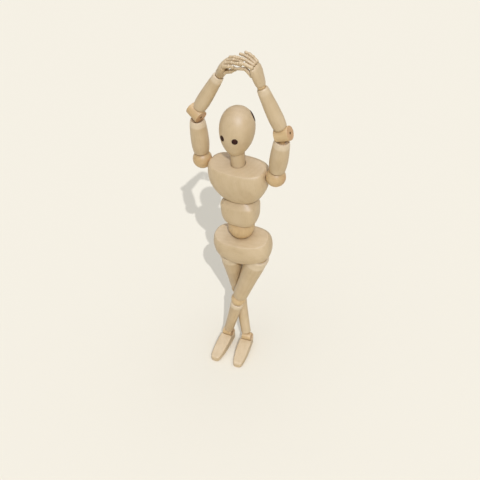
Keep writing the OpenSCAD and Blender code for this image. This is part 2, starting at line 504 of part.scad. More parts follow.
// ankle block: flat top square to the shin, stem up into it, rounded underside along the foot's cross axis
module ankle_block_shape(m, fx, c) difference() {
  union() {
    intersection() {
      multmatrix(frame(c, [0, 0, 1], fx)) translate([-ankle_len / 2, 0, 0]) rotate([0, 90, 0]) turned([[ankle_r - 0.4, 0], [ankle_r, 0.4], [ankle_r, ankle_len - 0.4], [ankle_r - 0.4, ankle_len]]);
      multmatrix(m) translate([-20, -20, 54.5]) cube([40, 40, 40]);
    }
    multmatrix(m) translate([0, 0, 37]) cylinder(r = stem_r - 0.4, h = 18);
  }
  multmatrix(frame(c, [0, 0, 1], fx)) translate([-20, 0, 0]) rotate([0, 90, 0]) cylinder(r = pin_r, h = 40, $fn = 32);
}
module ankle_pin_shape(c, fx) multmatrix(frame(c, [0, 0, 1], fx)) translate([-(ankle_len - 0.3) / 2, 0, 0]) rotate([0, 90, 0]) cylinder(r = pin_r + 0.02, h = ankle_len - 0.3, $fn = 32);
module ankle_block_right() color(gold) ankle_block_shape(shin_rm, foot_rx, ankle_rt);
module ankle_block_left() color(gold) ankle_block_shape(shin_lm, foot_lx, ankle_lf);
module ankle_pin_right() color(steel) ankle_pin_shape(ankle_rt, foot_rx);
module ankle_pin_left() color(steel) ankle_pin_shape(ankle_lf, foot_lx);
// foot: wedge, toes along -y of its own frame, ankle pin above the origin
foot_half = [[2.2, 7.4], [4.2, 6.8], [5.5, 5.4], [5.9, 3], [6.1, -2], [6.4, -10], [6.3, -18], [5.7, -26], [4.9, -31], [4.0, -33.2], [2.7, -34.2], [0, -34.4]];
foot_out = concat(foot_half, [for (i = [len(foot_half) - 2:-1:0]) [-foot_half[i][0], foot_half[i][1]]]);
foot_side = [[7.4, 0.6], [6.8, 0], [-33.8, 0], [-34.4, 0.6], [-34.4, 3.4], [-33.4, 5.0], [-27, 6.4], [-15, 9.0], [-4, 11.2], [4, 12], [6.6, 11.6], [7.4, 10.8]];
module foot_shape() difference() {
  intersection() {
    linear_extrude(height = 30) polygon(foot_out);
    rotate([0, -90, 0]) rotate([0, 0, 0]) translate([0, 0, -15]) linear_extrude(height = 30) polygon([for (q = foot_side) [q[1], q[0]]]);
  }
  translate([-20, 0, ankle_h]) rotate([0, 90, 0]) cylinder(r = ankle_r + seat_gap, h = 40);
}
module foot_right() color(wood) multmatrix(foot_rm) foot_shape();
module foot_left() color(wood) multmatrix(foot_lm) foot_shape();

head();
eyes();
crown_plug();
neck();
chest();
abdomen();
waist_ball();
pelvis();
shoulder_ball_right();
upper_arm_right();
elbow_drum_right();
elbow_pin_right();
forearm_right();
wrist_ball_right();
palm_right();
shoulder_ball_left();
upper_arm_left();
elbow_drum_left();
elbow_pin_left();
forearm_left();
wrist_ball_left();
palm_left();
hip_ball_right();
thigh_right();
knee_ball_right();
shin_right();
ankle_block_right();
ankle_pin_right();
foot_right();
hip_ball_left();
thigh_left();
knee_ball_left();
shin_left();
ankle_block_left();
ankle_pin_left();
foot_left();
thumb_right();
index_finger_right();
middle_finger_right();
ring_finger_right();
little_finger_right();
thumb_left();
index_finger_left();
middle_finger_left();
ring_finger_left();
little_finger_left();
trunk_spring();
neck_spring();
arm_spring_right();
arm_spring_left();
forearm_spring_right();
forearm_spring_left();
thigh_spring_right();
thigh_spring_left();
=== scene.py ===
import json
import math

import bmesh
import bpy
import numpy as np
from mathutils import Matrix, Vector


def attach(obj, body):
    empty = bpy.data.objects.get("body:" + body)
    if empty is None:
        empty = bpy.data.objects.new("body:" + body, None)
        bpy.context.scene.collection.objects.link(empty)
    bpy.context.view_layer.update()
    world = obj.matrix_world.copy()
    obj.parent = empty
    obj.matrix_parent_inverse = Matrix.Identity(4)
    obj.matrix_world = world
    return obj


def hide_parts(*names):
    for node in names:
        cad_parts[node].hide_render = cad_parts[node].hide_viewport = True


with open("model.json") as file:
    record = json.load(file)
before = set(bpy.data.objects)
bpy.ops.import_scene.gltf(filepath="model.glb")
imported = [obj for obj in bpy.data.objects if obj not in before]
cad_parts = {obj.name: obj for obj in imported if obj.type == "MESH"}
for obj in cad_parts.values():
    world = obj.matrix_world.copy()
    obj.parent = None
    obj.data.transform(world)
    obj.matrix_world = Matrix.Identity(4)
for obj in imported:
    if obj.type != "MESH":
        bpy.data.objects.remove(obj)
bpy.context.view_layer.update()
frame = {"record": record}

BODY = {n: b for b, ns in frame["record"]["behaviour"]["bodies"].items() for n in ns}
MM = 0.001


# ---------------------------------------------------------------- frames, millimetres
def unit(v):
    v = np.array(v, float)
    return v / np.linalg.norm(v)


def sind(a):
    return math.sin(math.radians(a))


def cosd(a):
    return math.cos(math.radians(a))


def dirv(t, h):
    return np.array([sind(t) * sind(h), -sind(t) * cosd(h), cosd(t)])


def at(p, z, x):
    """Frame at p with its z axis along z and its x axis as near as possible to x."""
    w = unit(z)
    v = unit(np.cross(w, x))
    u = np.cross(v, w)
    m = np.eye(4)
    m[:3, 0], m[:3, 1], m[:3, 2], m[:3, 3] = u, v, w, p
    return m


def pin_at(p, x, z):
    return at(p, np.cross(x, np.cross(z, x)), x)


def put(m, q):
    return (m @ np.array([q[0], q[1], q[2], 1.0]))[:3]


def turn(v, a, q):
    k = unit(a)
    return v * cosd(q) + np.cross(k, v) * sind(q) + k * (k @ v) * (1 - cosd(q))


def shift(x, y, z):
    m = np.eye(4)
    m[:3, 3] = (x, y, z)
    return m


def rot(axis, a):
    m = np.eye(4)
    m[:3, :3] = np.array(Matrix.Rotation(math.radians(a), 3, axis))
    return m


HEAD_LEN, HEAD_DIA, EYE_DIA, PLUG_DIA, NECK_DIA = 43.5, 30.0, 5.1, 10.5, 12.6
CHEST_W, CHEST_FLAT, ABD_W, ABD_FLAT, PEL_W, PEL_FLAT = 54.0, 0.64, 34.0, 0.76, 55.5, 0.62
HIP_SPAN, SHOULDER_SPAN = 27.4, 70.0
WAIST_R, SHOULDER_R, HIP_R, KNEE_R, WRIST_R = 12.2, 8.5, 8.6, 7.5, 3.4
ELBOW_R, ELBOW_LEN, ANKLE_R, ANKLE_LEN = 5.9, 12.4, 4.5, 9.6
PIN_R, GAP = 1.1, 0.25
UPPER, FORE, THIGH, SHIN, ANKLE_H = 48.0, 43.0, 73.6, 59.4, 13.0
DROP, HG, SH_UP, NECK_UP, DOME_UP, DOME_R, THIGH_DOME, STEM = 4.7, 34.9, 64.5, 66.0, 12.0, 24.0, 10.8, 2.4
HEAD_LOW, HEAD_FWD, NECK_LEN = 3.5, 3.7, 15.0

hip_z = ANKLE_H - SHIN * cosd(160.4) - THIGH * cosd(160.4)
waist = np.array([-0.15, -4.19, hip_z + HG * cosd(DROP) + HIP_SPAN / 2 * sind(DROP)])
pelvis_m = at(waist, [-sind(DROP), 0, cosd(DROP)], [cosd(DROP), 0, sind(DROP)])
hip = {"right": put(pelvis_m, [-HIP_SPAN / 2, 0, -HG]), "left": put(pelvis_m, [HIP_SPAN / 2, 0, -HG])}
thigh_d = {"right": dirv(160.4, -175.9), "left": dirv(161.6, -106.9)}
knee = {s: hip[s] + THIGH * thigh_d[s] for s in hip}
shin_l_tilt = 180 - math.degrees(math.acos((knee["left"][2] - ANKLE_H) / SHIN))
shin_d = {"right": dirv(160.4, 47.4), "left": dirv(shin_l_tilt, -105.8)}
ankle = {s: knee[s] + SHIN * shin_d[s] for s in hip}
trunk_z = unit([-sind(2), -sind(1.5), 1])
abdomen_m = at(waist, trunk_z, [cosd(2.5), -sind(2.5), 0])
chest_m = at(waist, trunk_z, [cosd(5), -sind(5), 0])
shoulder = {"right": put(chest_m, [-SHOULDER_SPAN / 2, 0, SH_UP]), "left": put(chest_m, [SHOULDER_SPAN / 2, 0, SH_UP])}
arm_d = {"right": dirv(6, -19), "left": dirv(11.5, 45)}
elbow = {s: shoulder[s] + UPPER * arm_d[s] for s in arm_d}
fore_d = {"right": dirv(29.5, 91.5), "left": dirv(25, -80)}
wrist = {s: elbow[s] + FORE * fore_d[s] for s in arm_d}
elbow_x = {"right": dirv(115, 66), "left": dirv(67, 86)}
hand_d = {"right": dirv(35, 58), "left": dirv(20, -90)}
neck_z = unit([-sind(3), -0.03, 1])
neck_m = at(put(chest_m, [0, 0, NECK_UP]), neck_z, [cosd(10), -sind(10), 0])
face_x = neck_m[:3, 0]
head_m = at(put(neck_m, [0, 0, NECK_LEN]), turn(neck_z, face_x, -16.5), face_x)
upper_m = {s: at(shoulder[s], arm_d[s], elbow_x[s]) for s in arm_d}
drum_m = {s: pin_at(elbow[s], elbow_x[s], arm_d[s]) for s in arm_d}
fore_m = {s: at(elbow[s], fore_d[s], elbow_x[s]) for s in arm_d}
wrist_m = {s: at(wrist[s], fore_d[s], [0, 1, 0]) for s in arm_d}
hand_m = {s: at(wrist[s], hand_d[s], [0, -1, 0]) for s in arm_d}
foot_x = {"right": np.array([cosd(3), sind(3), 0]), "left": np.array([cosd(-3.5), sind(-3.5), 0])}
thigh_m = {s: at(hip[s], thigh_d[s], [1, 0, 0]) for s in hip}
knee_m = {s: at(knee[s], shin_d[s], [1, 0, 0]) for s in hip}
shin_m = {s: at(knee[s], shin_d[s], foot_x[s]) for s in hip}
foot_m = {s: at([ankle[s][0], ankle[s][1], 0], [0, 0, 1], foot_x[s]) for s in hip}
ankle_m = {s: at(ankle[s], [0, 0, 1], foot_x[s]) for s in hip}


# ---------------------------------------------------------------- mesh tools, millimetres
def spline(pts, n=6):
    """Smooth curve through the points, with n steps between two of them (centripetal)."""
    p = np.array(pts, float)
    p = np.vstack([2 * p[0] - p[1], p, 2 * p[-1] - p[-2]])
    out = []
    for i in range(1, len(p) - 2):
        a, b, c, d = p[i - 1 : i + 3]
        t0 = 0.0
        t1 = t0 + max(np.linalg.norm(b - a), 1e-6) ** 0.5
        t2 = t1 + max(np.linalg.norm(c - b), 1e-6) ** 0.5
        t3 = t2 + max(np.linalg.norm(d - c), 1e-6) ** 0.5
        for t in np.linspace(t1, t2, n, endpoint=False):
            a1 = (t1 - t) / (t1 - t0) * a + (t - t0) / (t1 - t0) * b
            a2 = (t2 - t) / (t2 - t1) * b + (t - t1) / (t2 - t1) * c
            a3 = (t3 - t) / (t3 - t2) * c + (t - t2) / (t3 - t2) * d
            b1 = (t2 - t) / (t2 - t0) * a1 + (t - t0) / (t2 - t0) * a2
            b2 = (t3 - t) / (t3 - t1) * a2 + (t - t1) / (t3 - t1) * a3
            out.append((t2 - t) / (t2 - t1) * b1 + (t - t1) / (t2 - t1) * b2)
    out.append(p[-2])
    return [tuple(q) for q in out]


def arc(r, z0, a0, a1, n):
    """Points (radius, height) on a ball of radius r centred at height z0, from angle a0 to a1 above the equator."""
    return [(r * cosd(a), z0 + r * sind(a)) for a in np.linspace(a0, a1, n)]


def rounded(pts, rad, n=5):
    """Polyline with its inner corners rounded; rad is one radius or one per point."""
    p = [np.array(q, float) for q in pts]
    rads = rad if hasattr(rad, "__len__") else [rad] * len(p)
    out = [tuple(p[0])]
    for i in range(1, len(p) - 1):
        a, b, c = p[i - 1], p[i], p[i + 1]
        la, lc = np.linalg.norm(a - b), np.linalg.norm(c - b)
        u, v = (a - b) / la, (c - b) / lc
        ang = math.acos(max(-1, min(1, float(u @ v))))
        if rads[i] <= 0 or ang > math.radians(174):
            out.append(tuple(b))
            continue
        d = min(rads[i] / math.tan(ang / 2), la * 0.48, lc * 0.48)
        s, e = b + u * d, b + v * d
        for t in np.linspace(0, 1, n):
            out.append(tuple((1 - t) ** 2 * s + 2 * t * (1 - t) * b + t * t * e))
    out.append(tuple(p[-1]))
    return out


def revolve(profile, seg=96):
    """Turned solid: a profile of (radius, height) that starts and ends on the axis, or else a closed loop."""
    prof = [tuple(q) for q in profile]
    keep = [prof[0]]
    for q in prof[1:]:
        if math.dist(q, keep[-1]) > 1e-4:
            keep.append(q)
    if math.dist(keep[0], keep[-1]) < 1e-4:
        keep.pop()
    verts, rings, faces = [], [], []
    a = np.arange(seg) * 2 * math.pi / seg
    for r, z in keep:
        if r < 1e-5:
            rings.append([len(verts)])
            verts.append((0, 0, z))
        else:
            rings.append(list(range(len(verts), len(verts) + seg)))
            verts += [(r * math.cos(t), r * math.sin(t), z) for t in a]
    pairs = list(zip(rings[:-1], rings[1:]))
    if len(rings[0]) > 1 and len(rings[-1]) > 1:
        pairs.append((rings[-1], rings[0]))
    for p, q in pairs:
        if len(p) == 1 and len(q) == 1:
            continue
        for i in range(seg):
            j = (i + 1) % seg
            if len(p) == 1:
                faces.append((p[0], q[i], q[j]))
            elif len(q) == 1:
                faces.append((p[i], q[0], p[j]))
            else:
                faces.append((p[i], q[i], q[j], p[j]))
    return verts, faces


def spow(c, q):
    return math.copysign(abs(c) ** q, c)


def loft(k, m, nu, sx=1.0, sy=1.0):
    """Block through sections [height, half width, half depth, squareness]."""
    k = np.array(k, float)

    def sec(u):
        i = min(int(u), len(k) - 2)
        a, b, c, d = k[max(i - 1, 0)], k[i], k[i + 1], k[min(i + 2, len(k) - 1)]
        t = u - i
        return 0.5 * (2 * b + (c - a) * t + (2 * a - 5 * b + 4 * c - d) * t * t + (3 * b - a - 3 * c + d) * t**3)

    verts, faces = [], []
    for j in range(m + 1):
        q = sec(j * (len(k) - 1) / m)
        for i in range(nu):
            t = 2 * math.pi * (i + 0.5) / nu
            verts.append((sx * q[1] * spow(math.cos(t), 2 / q[3]), sy * q[2] * spow(math.sin(t), 2 / q[3]), q[0]))
    for j in range(m):
        for i in range(nu):
            i2 = (i + 1) % nu
            faces.append((j * nu + i, j * nu + i2, (j + 1) * nu + i2, (j + 1) * nu + i))
    for j, flip in ((0, True), (m, False)):
        ring = [j * nu + i for i in range(nu)]
        verts.append(tuple(np.mean([verts[v] for v in ring], axis=0)))
        c = len(verts) - 1
        for i in range(nu):
            f = (ring[i], ring[(i + 1) % nu], c)
            faces.append(f[::-1] if flip else f)
    return verts, faces


def sweep(pts, radii, seg=24, closed_ends=True):
    """Tube along the points with a radius at each, closed at both ends."""
    p = np.array(pts, float)
    t = np.gradient(p, axis=0)
    t /= np.linalg.norm(t, axis=1)[:, None]
    n = np.cross(t[0], [0.3, 0.9, 0.2])
    n /= np.linalg.norm(n)
    verts, faces, rings = [], [], []
    for i in range(len(p)):
        n = n - t[i] * (n @ t[i])
        n /= np.linalg.norm(n)
        b = np.cross(t[i], n)
        if radii[i] < 1e-5:
            rings.append([len(verts)])
            verts.append(tuple(p[i]))
        else:
            rings.append(list(range(len(verts), len(verts) + seg)))
            for k in range(seg):
                a = 2 * math.pi * k / seg
                verts.append(tuple(p[i] + radii[i] * (math.cos(a) * n + math.sin(a) * b)))
    for q, r in zip(rings[:-1], rings[1:]):
        for k in range(seg):
            j = (k + 1) % seg
            if len(q) == 1:
                faces.append((q[0], r[k], r[j]))
            elif len(r) == 1:
                faces.append((q[k], r[0], q[j]))
            else:
                faces.append((q[k], r[k], r[j], q[j]))
    if len(rings[0]) > 1:
        faces.append(tuple(rings[0][::-1]))
    if len(rings[-1]) > 1:
        faces.append(tuple(rings[-1]))
    return verts, faces


def moved(geo, m):
    v = np.array(geo[0], float)
    v = v @ np.array(m)[:3, :3].T + np.array(m)[:3, 3]
    return [tuple(q) for q in v], geo[1]


def solid(name, geo):
    me = bpy.data.meshes.new(name)
    me.from_pydata(geo[0], [], geo[1])
    bm = bmesh.new()
    bm.from_mesh(me)
    bmesh.ops.remove_doubles(bm, verts=bm.verts, dist=1e-4)
    bmesh.ops.recalc_face_normals(bm, faces=bm.faces)
    bm.to_mesh(me)
    bm.free()
    o = bpy.data.objects.new(name, me)
    bpy.context.scene.collection.objects.link(o)
    return o


def bake_mods(o):
    bpy.context.view_layer.update()
    dg = bpy.context.evaluated_depsgraph_get()
    me = bpy.data.meshes.new_from_object(o.evaluated_get(dg))
    o.modifiers.clear()
    old = o.data
    o.data = me
    bpy.data.meshes.remove(old)
    return o


def combine(o, *ops):
    """Boolean steps in order, each (operation, geometry)."""
    tools = []
    for k, (op, geo) in enumerate(ops):
        c = solid(o.name + "_tool%d" % k, geo)
        tools.append(c)
        m = o.modifiers.new("step%d" % k, "BOOLEAN")
        m.operation, m.object, m.solver = op, c, "EXACT"
    bake_mods(o)
    for c in tools:
        me = c.data
        bpy.data.objects.remove(c)
        bpy.data.meshes.remove(me)
    return o


def soften(o, voxel, passes, factor=0.5):
    """Even mesh with slightly worn edges."""
    m = o.modifiers.new("remesh", "REMESH")
    m.mode, m.voxel_size, m.adaptivity = "VOXEL", voxel, 0.0
    s = o.modifiers.new("wear", "SMOOTH")
    s.factor, s.iterations = factor, passes
    return bake_mods(o)


def worn(o, width, angle=32, segs=2):
    """Small rounding on the hard edges."""
    m = o.modifiers.new("edge", "BEVEL")
    m.width, m.segments, m.limit_method, m.angle_limit = width, segs, "ANGLE", math.radians(angle)
    m.use_clamp_overlap = True
    return bake_mods(o)


PIECES = []


def place(o, node, m, mat, sharp=40):
    """Puts a finished mesh at its frame, on the node's body, in the node's place."""
    o.name = node + "_look"
    o.data.name = o.name
    o.data.transform(Matrix.Diagonal((MM, MM, MM, 1)))
    w = np.array(m, float).copy()
    w[:3, 3] *= MM
    o.matrix_world = Matrix([list(r) for r in w])
    o.data.shade_smooth()
    o.data.set_sharp_from_angle(angle=math.radians(sharp))
    o.data.materials.clear()
    o.data.materials.append(mat)
    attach(o, BODY[node])
    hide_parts(node)
    PIECES.append(o)
    return o


# ---------------------------------------------------------------- materials
def lin(r, g, b):
    return tuple((c / 255 / 12.92) if c / 255 <= 0.04045 else ((c / 255 + 0.055) / 1.055) ** 2.4 for c in (r, g, b)) + (1.0,)


class Nodes:
    """Small helper round a material's node tree."""

    def __init__(self, name):
        self.mat = bpy.data.materials.new(name)
        self.mat.use_nodes = True
        self.t = self.mat.node_tree
        self.t.nodes.clear()

    def new(self, kind, **kw):
        n = self.t.nodes.new(kind)
        for k, v in kw.items():
            setattr(n, k, v)
        return n

    def link(self, a, b):
        self.t.links.new(a, b)

    def math(self, op, a, b=None, c=None, clamp=False):
        n = self.new("ShaderNodeMath", operation=op, use_clamp=clamp)
        for i, x in enumerate((a, b, c)):
            if x is None:
                continue
            if isinstance(x, (int, float)):
                n.inputs[i].default_value = x
            else:
                self.link(x, n.inputs[i])
        return n.outputs[0]

    def span(self, v, lo, hi, to_lo=0.0, to_hi=1.0, smooth=True):
        n = self.new("ShaderNodeMapRange", interpolation_type="SMOOTHSTEP" if smooth else "LINEAR")
        self.link(v, n.inputs["Value"])
        for k, x in (("From Min", lo), ("From Max", hi), ("To Min", to_lo), ("To Max", to_hi)):
            n.inputs[k].default_value = x
        return n.outputs["Result"]

    def mix(self, f, a, b, blend="MIX"):
        n = self.new("ShaderNodeMix", data_type="RGBA", blend_type=blend)
        for sock, x in ((n.inputs[0], f), (n.inputs[6], a), (n.inputs[7], b)):
            if isinstance(x, (int, float)):
                sock.default_value = x
            elif isinstance(x, tuple):
                sock.default_value = x
            else:
                self.link(x, sock)
        return n.outputs[2]

    def mapping(self, v, loc=(0, 0, 0), scale=(1, 1, 1), rotation=(0, 0, 0)):
        n = self.new("ShaderNodeMapping")
        self.link(v, n.inputs["Vector"])
        n.inputs["Location"].default_value = loc
        n.inputs["Scale"].default_value = scale
        n.inputs["Rotation"].default_value = rotation
        return n.outputs["Vector"]

    def noise(self, v, scale, detail=2.0, rough=0.5, distortion=0.0):
        n = self.new("ShaderNodeTexNoise")
        self.link(v, n.inputs["Vector"])
        n.inputs["Scale"].default_value = scale
        n.inputs["Detail"].default_value = detail
        n.inputs["Roughness"].default_value = rough
        n.inputs["Distortion"].default_value = distortion
        return n.outputs["Fac"]

    def ramp(self, v, *stops):
        n = self.new("ShaderNodeValToRGB")
        self.link(v, n.inputs[0])
        e = n.color_ramp.elements
        while len(e) < len(stops):
            e.new(0.5)
        for x, (pos, col) in zip(e, stops):
            x.position, x.color = pos, col
        return n.outputs["Color"]


# the worn tone is the paler colour of the painted highlight at the lit ends of the limbs
TONES = {
    "pale_wood": dict(light=lin(204, 179, 138), mid=lin(196, 170, 127), dark=lin(185, 157, 114), end=lin(201, 176, 135), fleck=lin(150, 118, 78), worn=lin(221, 200, 165)),
    "joint_wood": dict(light=lin(206, 176, 125), mid=lin(197, 164, 112), dark=lin(183, 147, 95), end=lin(196, 152, 103), fleck=lin(138, 98, 58), worn=lin(218, 192, 146)),
}
seed_of = {n: i for i, n in enumerate(sorted(BODY))}


def wood(node, tone, grain=(0, 0, 0), seed=None, end_mix=0.7, seam_shade_mix=0.3, lit_end_band=None, lit_end_mix=0.62):
    """Satin turned wood with its grain along the piece's own z axis, turned first by grain (degrees).
    The end band is given as two heights (m) between which the wood is painted paler towards one end, a painted
    highlight standing in for light on that rounded end; a second number sets how pale."""
    c = TONES[tone]
    k = seed_of[node] if seed is None else seed
    rnd = np.random.RandomState(100 + k)
    off = rnd.uniform(-0.4, 0.4, 3)
    g = Nodes(node + "_" + tone)
    tc = g.new("ShaderNodeTexCoord")
    turned = g.mapping(tc.outputs["Object"], rotation=tuple(math.radians(a) for a in grain))
    base = g.mapping(turned, loc=tuple(off))
    mottle = g.noise(base, 62.0, 3.0, 0.55)
    fibre = g.noise(g.mapping(base, scale=(1, 1, 0.045)), 1300.0, 4.0, 0.6)
    fleck = g.span(g.noise(g.mapping(base, scale=(1, 0.7, 0.14)), 1150.0, 1.0, 0.4), 0.60, 0.72)
    wave = g.new("ShaderNodeTexWave", wave_type="RINGS", rings_direction="Z")
    g.link(g.mapping(turned, loc=(rnd.uniform(0.006, 0.014), rnd.uniform(-0.012, -0.005), off[2] * 0.1), scale=(1, 1, 0.22)), wave.inputs["Vector"])
    wave.inputs["Scale"].default_value = 78.0
    wave.inputs["Distortion"].default_value = 2.4
    wave.inputs["Detail"].default_value = 2.0
    wave.inputs["Detail Scale"].default_value = 0.6
    rings = wave.outputs["Fac"]
    tone_v = g.math("ADD", g.math("MULTIPLY", mottle, 0.62), g.math("ADD", g.math("MULTIPLY", rings, 0.05), g.math("MULTIPLY", fibre, 0.33)))
    col = g.ramp(tone_v, (0.30, c["dark"]), (0.50, c["mid"]), (0.70, c["light"]))
    col = g.mix(g.math("MULTIPLY", fleck, 0.10), col, c["fleck"])
    # end grain where the surface faces along the grain
    nrm = g.mapping(tc.outputs["Normal"], rotation=tuple(math.radians(a) for a in grain))
    sep = g.new("ShaderNodeSeparateXYZ")
    g.link(nrm, sep.inputs[0])
    facing = g.span(g.math("ABSOLUTE", sep.outputs["Z"]), 0.80, 0.97, 0.0, end_mix)
    speck = g.noise(base, 2600.0, 2.0, 0.6)
    end_col = g.mix(g.span(speck, 0.35, 0.65), g.mix(0.25, c["end"], c["fleck"]), c["end"])
    col = g.mix(facing, col, end_col)
    # painted highlight: the wood is painted paler towards one end, standing in for light falling on the rounded end of
    # the limb
    if lit_end_band:
        along = g.new("ShaderNodeSeparateXYZ")
        g.link(tc.outputs["Object"], along.inputs[0])
        ragged = g.math("ADD", along.outputs["Z"], g.math("MULTIPLY", g.math("SUBTRACT", g.noise(base, 240.0, 2.0, 0.5), 0.5), 0.0016))
        col = g.mix(g.span(ragged, lit_end_band[0], lit_end_band[1], 0.0, lit_end_mix), col, c["worn"])
    # painted shade in the seams: the colour darkens towards the fleck tone where ambient occlusion finds nearby
    # surfaces
    ao = g.new("ShaderNodeAmbientOcclusion", samples=6)
    ao.inputs["Distance"].default_value = 0.003
    seam_shade = g.span(ao.outputs["AO"], 0.15, 0.75, 1.0, 0.0)
    col = g.mix(g.math("MULTIPLY", seam_shade, seam_shade_mix), col, c["fleck"])
    p = g.new("ShaderNodeBsdfPrincipled")
    g.link(col, p.inputs["Base Color"])
    g.link(g.span(fibre, 0.3, 0.7, 0.44, 0.56, smooth=False), p.inputs["Roughness"])
    p.inputs["Specular IOR Level"].default_value = 0.8
    height = g.math("ADD", g.math("MULTIPLY", fibre, 0.7), g.math("MULTIPLY", fleck, -0.35))
    bump = g.new("ShaderNodeBump")
    bump.inputs["Strength"].default_value = 0.10
    bump.inputs["Distance"].default_value = 0.00012
    g.link(height, bump.inputs["Height"])
    g.link(bump.outputs["Normal"], p.inputs["Normal"])
    out = g.new("ShaderNodeOutputMaterial")
    g.link(p.outputs[0], out.inputs["Surface"])
    return g.mat


def inlay():
    g = Nodes("dark_inlay")
    tc = g.new("ShaderNodeTexCoord")
    fibre = g.noise(g.mapping(tc.outputs["Object"], scale=(1, 1, 0.1)), 1500.0, 3.0, 0.6)
    blot = g.noise(tc.outputs["Object"], 420.0, 2.0, 0.5)
    v = g.math("ADD", g.math("MULTIPLY", fibre, 0.5), g.math("MULTIPLY", blot, 0.5))
    col = g.ramp(v, (0.32, lin(38, 20, 16)), (0.55, lin(60, 34, 26)), (0.75, lin(86, 52, 38)))
    p = g.new("ShaderNodeBsdfPrincipled")
    g.link(col, p.inputs["Base Color"])
    g.link(g.span(blot, 0.3, 0.7, 0.5, 0.66, smooth=False), p.inputs["Roughness"])
    p.inputs["Specular IOR Level"].default_value = 0.1
    bump = g.new("ShaderNodeBump")
    bump.inputs["Strength"].default_value = 0.12
    bump.inputs["Distance"].default_value = 0.0001
    g.link(fibre, bump.inputs["Height"])
    g.link(bump.outputs["Normal"], p.inputs["Normal"])
    out = g.new("ShaderNodeOutputMaterial")
    g.link(p.outputs[0], out.inputs["Surface"])
    return g.mat


def steel(name, dark):
    g = Nodes(name)
    tc = g.new("ShaderNodeTexCoord")
    scratch = g.noise(g.mapping(tc.outputs["Object"], scale=(1, 1, 0.2)), 2200.0, 3.0, 0.6)
    lo, hi = (lin(13, 6, 3), lin(26, 14, 8)) if dark else (lin(132, 132, 136), lin(176, 176, 180))
    p = g.new("ShaderNodeBsdfPrincipled")
    g.link(g.ramp(scratch, (0.35, lo), (0.68, hi)), p.inputs["Base Color"])
    rough = (0.5, 0.66) if dark else (0.26, 0.46)
    g.link(g.span(scratch, 0.3, 0.7, rough[0], rough[1], smooth=False), p.inputs["Roughness"])
    p.inputs["Metallic"].default_value = 0.0 if dark else 1.0
    p.inputs["Specular IOR Level"].default_value = 0.0 if dark else 0.5
    bump = g.new("ShaderNodeBump")
    bump.inputs["Strength"].default_value = 0.1
    bump.inputs["Distance"].default_value = 0.00006
    g.link(scratch, bump.inputs["Height"])
    g.link(bump.outputs["Normal"], p.inputs["Normal"])
    out = g.new("ShaderNodeOutputMaterial")
    g.link(p.outputs[0], out.inputs["Surface"])
    return g.mat


INLAY, PIN_STEEL, SPRING_STEEL = inlay(), steel("pin_steel", True), steel("spring_steel", False)


# ---------------------------------------------------------------- head and neck
def egg_r(t):
    return HEAD_DIA / 2 * math.sqrt(max(0.0, 1 - abs(2 * t**1.227 - 1) ** 2.12))


def egg_at(z):
    return egg_r(min(1.0, max(0.0, (z + HEAD_LOW) / HEAD_LEN)))


# even steps along the outline
ts = np.linspace(0, 1, 4000)
raw = np.array([(egg_r(t), -HEAD_LOW + HEAD_LEN * t) for t in ts])
run = np.concatenate([[0], np.cumsum(np.linalg.norm(np.diff(raw, axis=0), axis=1))])
even = np.linspace(0, run[-1], 97)
egg_prof = [(float(np.interp(e, run, raw[:, 0])), float(np.interp(e, run, raw[:, 1]))) for e in even]
egg_prof[0], egg_prof[-1] = (0.0, -HEAD_LOW), (0.0, HEAD_LEN - HEAD_LOW)
ahead = shift(0, -HEAD_FWD, 0)
EYE_Z, EYE_A, PLUG_Z, PLUG_A, PLUG_UP = 13.6, 25.5, 32.5, 52.0, 30.0
eye_m = {s: ahead @ rot("Z", s * EYE_A) @ shift(0, -egg_at(EYE_Z), EYE_Z) @ rot("X", 104) for s in (-1, 1)}
plug_m = ahead @ rot("Z", -PLUG_A) @ shift(0, egg_at(PLUG_Z), PLUG_Z) @ rot("X", -90 + PLUG_UP)


def on_egg(m, u, v, proud):
    """Distance along the frame's z axis from (u, v) to the egg's surface, proud millimetres out."""

    def out(t):
        p = put(m, [u, v, t])
        x, y = p[0], p[1] + HEAD_FWD
        return math.hypot(x, y) - egg_at(p[2])

    lo, hi = -5.0, 3.0
    for _ in range(40):
        mid = (lo + hi) / 2
        if out(mid) > 0:
            hi = mid
        else:
            lo = mid
    return (lo + hi) / 2 + proud


def disc_on_egg(m, r, proud, depth, seg=48, rings=12):
    """Inlay that follows the egg, with an eased edge."""
    verts, faces = [(0, 0, on_egg(m, 0, 0, proud))], []
    for j in range(1, rings + 1):
        q = r * (1 - (1 - j / rings) ** 1.6)
        ease = proud * (1 - max(0.0, (q - r * 0.86) / (r * 0.14)) ** 2) + 0.02
        for i in range(seg):
            a = 2 * math.pi * i / seg
            u, v = q * math.cos(a), q * math.sin(a)
            verts.append((u, v, on_egg(m, u, v, ease)))
    for i in range(seg):
        faces.append((0, 1 + i, 1 + (i + 1) % seg))
    for j in range(rings - 1):
        for i in range(seg):
            a, b = 1 + j * seg + i, 1 + j * seg + (i + 1) % seg
            faces.append((a, a + seg, b + seg, b))
    last = 1 + (rings - 1) * seg
    low = len(verts)
    for i in range(seg):
        a = 2 * math.pi * i / seg
        verts.append((r * math.cos(a), r * math.sin(a), -depth))
    for i in range(seg):
        j = (i + 1) % seg
        faces.append((last + i, low + i, low + j, last + j))
    faces.append(tuple(range(low + seg - 1, low - 1, -1)))
    return verts, faces


